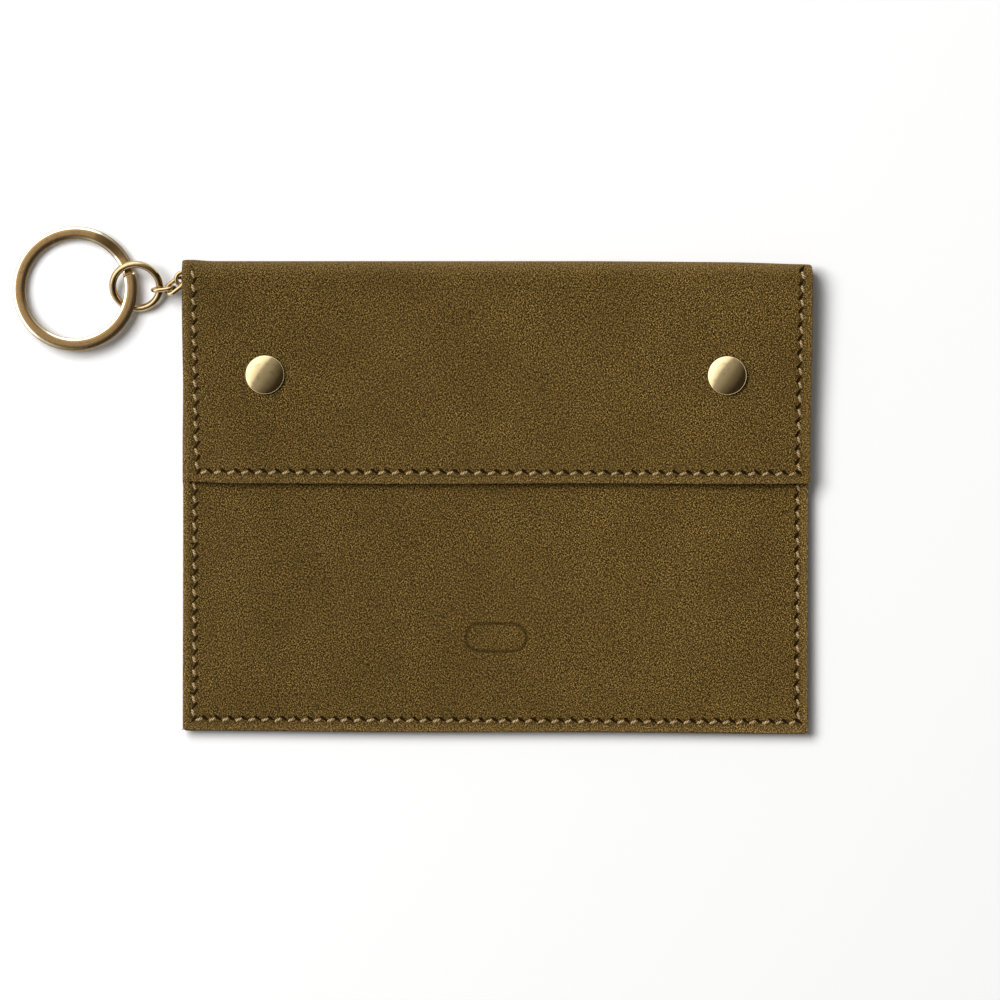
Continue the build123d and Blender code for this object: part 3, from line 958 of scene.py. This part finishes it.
def slot_shade_material():
    # painted shade: near black for the shaded inside of the awl slots
    mat, nodes, links, bsdf = new_material("awl_slot_shade")
    co = nodes.new("ShaderNodeTexCoord")
    frayed = noise(nodes, links, co.outputs["Object"], 2600, 3, 0.6)
    base = ramp(nodes, links, frayed, ((0.3, (0.006, 0.003, 0.0008)), (0.7, (0.030, 0.016, 0.005))))
    links.new(base, bsdf.inputs["Base Color"])
    links.new(spread_value(nodes, links, frayed, 0.3, 0.7, 0.85, 1.0), bsdf.inputs["Roughness"])
    bsdf.inputs["Specular IOR Level"].default_value = 0.05
    bump(nodes, links, bsdf, frayed, 0.5, 0.0001)
    return mat


def metal_material(name, bright, deep, rough_lo, rough_hi, tarnish, brushed):
    mat, nodes, links, bsdf = new_material(name)
    co = nodes.new("ShaderNodeTexCoord")
    at = co.outputs["Object"]
    cloud = noise(nodes, links, at, 300, 4, 0.6)
    fine = noise(nodes, links, at, 2400, 3, 0.6)
    speck = noise(nodes, links, at, 900, 2, 0.5)
    scratch = noise(nodes, links, at, 1600, 2, 0.5, (1.0, 0.08, 1.0), 33)
    base = mix(nodes, links, spread_value(nodes, links, cloud, 0.35, 0.7, 0, 0.6), bright, deep)
    worn_and_painted_light = mix(nodes, links, spread_value(nodes, links, speck, 0.58, 0.72, 0, 0.35), base, tarnish)
    # bevels painted near white: polished brass, and a painted highlight
    worn_and_painted_light = mix(nodes, links, attribute(nodes, "polish_and_highlight"), worn_and_painted_light, (0.98, 0.90, 0.72))
    # cap rim painted dark: tarnish, and painted shade
    worn_and_painted_light = mix(nodes, links, attribute(nodes, "rim_tarnish_and_shade"), worn_and_painted_light, (0.085, 0.058, 0.024))
    bsdf.inputs["Metallic"].default_value = 1.0
    links.new(worn_and_painted_light, bsdf.inputs["Base Color"])
    rough = math_node(nodes, links, "ADD", spread_value(nodes, links, cloud, 0.3, 0.7, rough_lo, rough_hi),
                      spread_value(nodes, links, scratch, 0.5, 0.7, 0.0, 0.08 * brushed))
    links.new(rough, bsdf.inputs["Roughness"])
    height = math_node(nodes, links, "ADD", fine, math_node(nodes, links, "MULTIPLY", scratch, 0.6))
    bump(nodes, links, bsdf, height, 0.10 * brushed, 0.00004)
    return mat


SUEDE = suede_material()
CLOTH = lining_material()
THREAD = thread_material()
SLOT_SHADE = slot_shade_material()
SNAP = metal_material("snap_brass", (0.62, 0.50, 0.285), (0.53, 0.41, 0.21), 0.10, 0.14,
                      (0.28, 0.19, 0.09), 0.5)
CHAIN = metal_material("chain_brass", (0.50, 0.372, 0.202), (0.385, 0.272, 0.138), 0.06, 0.10,
                       (0.18, 0.12, 0.055), 0.5)
RING = metal_material("ring_brass", (0.310, 0.196, 0.086), (0.255, 0.158, 0.068), 0.13, 0.18,
                      (0.15, 0.09, 0.04), 1.3)


def finish_piece(obj, material, body=None, nodes=()):
    obj.data.materials.clear()
    obj.data.materials.append(material)
    if nodes:
        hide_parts(*nodes)
    if body:
        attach(obj, body)
    return obj


# ---------------------------------------------------------------- assemble
front, front_cloth = build_front()
finish_piece(front, SUEDE, "pouch", ["front_panel"])
finish_piece(front_cloth, CLOTH, "pouch", ["front_lining"])

(back, fold, flap), (back_cloth, fold_cloth, flap_cloth) = build_wrap()
finish_piece(back, SUEDE, "pouch", ["back_panel"])
finish_piece(fold, SUEDE, None, ["flap_fold"])
finish_piece(flap, SUEDE, "flap", ["flap_panel"])
finish_piece(back_cloth, CLOTH, "pouch", ["back_lining"])
finish_piece(fold_cloth, CLOTH, None, ["flap_fold_lining"])
finish_piece(flap_cloth, CLOTH, "flap", ["flap_lining"])
for piece in (fold, fold_cloth):
    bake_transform(piece)

body_front, body_front_slots = stitches("body_thread", BODY_SEAM, BODY_PITCH, front_top, 1)
flap_front, flap_front_slots = stitches("flap_thread", FLAP_SEAM, FLAP_PITCH, over_fold, 1)


def flat_back(x, y):
    return back_lift(x, y) + 0.08


def under_flap(x, y):
    return over_fold(np.array(x), np.minimum(y, FOLD_Y)) - LEATHER - LINING - 0.04


FLAP_INNER_SEAM = [(x, min(y, 54.0)) for x, y in FLAP_SEAM if y < 56]
body_back, body_back_slots = stitches("back_thread", BODY_SEAM, BODY_PITCH, flat_back, -0.12)
flap_back, flap_back_slots = stitches("flap_inner_thread", FLAP_INNER_SEAM, FLAP_PITCH,
                                      under_flap, -1)

finish_piece(body_front, THREAD, "pouch", ["body_stitching"])
finish_piece(body_back, THREAD, "pouch")
finish_piece(flap_front, THREAD, "flap", ["flap_stitching"])
finish_piece(flap_back, THREAD, "flap")
for piece, body in ((body_front_slots, "pouch"), (body_back_slots, "pouch"),
                    (flap_front_slots, "flap"), (flap_back_slots, "flap")):
    finish_piece(piece, SLOT_SHADE, body)

tab, tab_thread, tab_slots = build_tab("chain_tab_suede")
finish_piece(tab, SUEDE, "pouch", ["chain_tab"])
finish_piece(tab_thread, THREAD, "pouch", ["tab_stitching"])
finish_piece(tab_slots, SLOT_SHADE, "pouch")

for side, x, y in (("left", -58.9, 31.2), ("right", 59.25, 31.0)):
    cap = turn(f"cap_{side}", cap_outline(), (x, y), 4.93)
    finish_piece(cap, SNAP, "flap", [f"snap_cap_{side}"])
    for kind in ("socket", "spring", "stud", "eyelet"):
        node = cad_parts[f"snap_{kind}_{side}"]
        node.data.materials.clear()
        node.data.materials.append(SNAP)

LINKS = (
    ((-74.9, 55.8, 5.1), 178, 0, 90),
    ((-79.04, 55.84, 5.42), 178.1, 8.33, -12.01),
    ((-82.07, 54.13, 5.17), 216.46, -15.28, 41.74),
    ((-85.03, 53.38, 3.97), 187.05, -5.24, 80.22),
)
for number, place in enumerate(LINKS, 1):
    piece = build_link(f"oval_link_{number}", place)
    finish_piece(piece, CHAIN, f"link_{number}", [f"chain_link_{number}"])
finish_piece(build_jump("round_ring"), CHAIN, "jump", ["jump_ring"])
finish_piece(build_split("flat_wire_ring"), RING, "key_ring", ["split_ring"])

# ------------------------------------------------------------------- stage
REACH = 4.0
floor_mesh = bpy.data.meshes.new("floor")
floor_mesh.from_pydata([(-REACH, -REACH, -0.0006), (REACH, -REACH, -0.0006),
                        (REACH, REACH, -0.0006), (-REACH, REACH, -0.0006)], [], [(0, 1, 2, 3)])
floor = bpy.data.objects.new("floor", floor_mesh)
bpy.context.scene.collection.objects.link(floor)
paper, _, _, paper_bsdf = new_material("paper")
paper_bsdf.inputs["Base Color"].default_value = (0.93, 0.93, 0.93, 1)
paper_bsdf.inputs["Roughness"].default_value = 1.0
paper_bsdf.inputs["Specular IOR Level"].default_value = 0.0
floor_mesh.materials.append(paper)

scene = bpy.context.scene
scene.view_settings.view_transform = "Standard"
scene.view_settings.look = "None"

world = bpy.data.worlds.new("studio")
scene.world = world
world.use_nodes = True
wn, wl = world.node_tree.nodes, world.node_tree.links
fill = wn["Background"]
fill.inputs["Color"].default_value = (1.0, 0.99, 0.97, 1)
fill.inputs["Strength"].default_value = 0.16
where = wn.new("ShaderNodeTexCoord")
toward = wn.new("ShaderNodeVectorMath")
toward.operation = "DOT_PRODUCT"
toward.inputs[1].default_value = (-0.82, 0.57, 0.0)
wl.new(where.outputs["Generated"], toward.inputs[0])
half = wn.new("ShaderNodeMapRange")
half.inputs["From Min"].default_value = -1
half.inputs["From Max"].default_value = 1
wl.new(toward.outputs["Value"], half.inputs["Value"])
room = ramp(wn, wl, half.outputs["Result"], (
    (0.0, (0.010, 0.008, 0.005)), (0.26, (0.018, 0.014, 0.009)), (0.41, (0.075, 0.066, 0.052)),
    (0.50, (0.145, 0.137, 0.120)), (0.600, (0.190, 0.182, 0.168)), (0.63, (0.46, 0.46, 0.45)),
    (0.82, (1.0, 1.0, 1.0))))
mirrored = wn.new("ShaderNodeBackground")
mirrored.inputs["Strength"].default_value = 3.0
height = wn.new("ShaderNodeSeparateXYZ")
wl.new(where.outputs["Generated"], height.inputs["Vector"])
low_band = spread_value(wn, wl, height.outputs["Z"], 0.24, 0.14, 0.0, 1.0)
wl.new(mix(wn, wl, low_band, room, (0.62, 0.61, 0.58)), mirrored.inputs["Color"])
ray = wn.new("ShaderNodeLightPath")
either = wn.new("ShaderNodeMixShader")
wl.new(ray.outputs["Is Glossy Ray"], either.inputs[0])
wl.new(fill.outputs["Background"], either.inputs[1])
wl.new(mirrored.outputs["Background"], either.inputs[2])
wl.new(either.outputs["Shader"], wn["World Output"].inputs["Surface"])


def softbox(name, place, target, size, power):
    data = bpy.data.lights.new(name, "AREA")
    data.shape = "RECTANGLE"
    data.size, data.size_y = size
    data.energy = power
    lamp = bpy.data.objects.new(name, data)
    scene.collection.objects.link(lamp)
    lamp.location = place
    direction = Vector(target) - Vector(place)
    lamp.rotation_euler = direction.to_track_quat("-Z", "Y").to_euler()
    lamp.visible_glossy = False


softbox("key", (-1.02, 0.68, 2.20), (0, 0, 0), (1.60, 1.20), 74.0)

camera_data = bpy.data.cameras.new("camera")
camera_data.lens = 300.0
camera_data.sensor_width = 36.0
camera_data.clip_end = 20.0
camera = bpy.data.objects.new("camera", camera_data)
scene.collection.objects.link(camera)
camera.location = (1.2 * MM, -0.8 * MM, 2.140)
camera.rotation_euler = (0, 0, 0)
scene.camera = camera
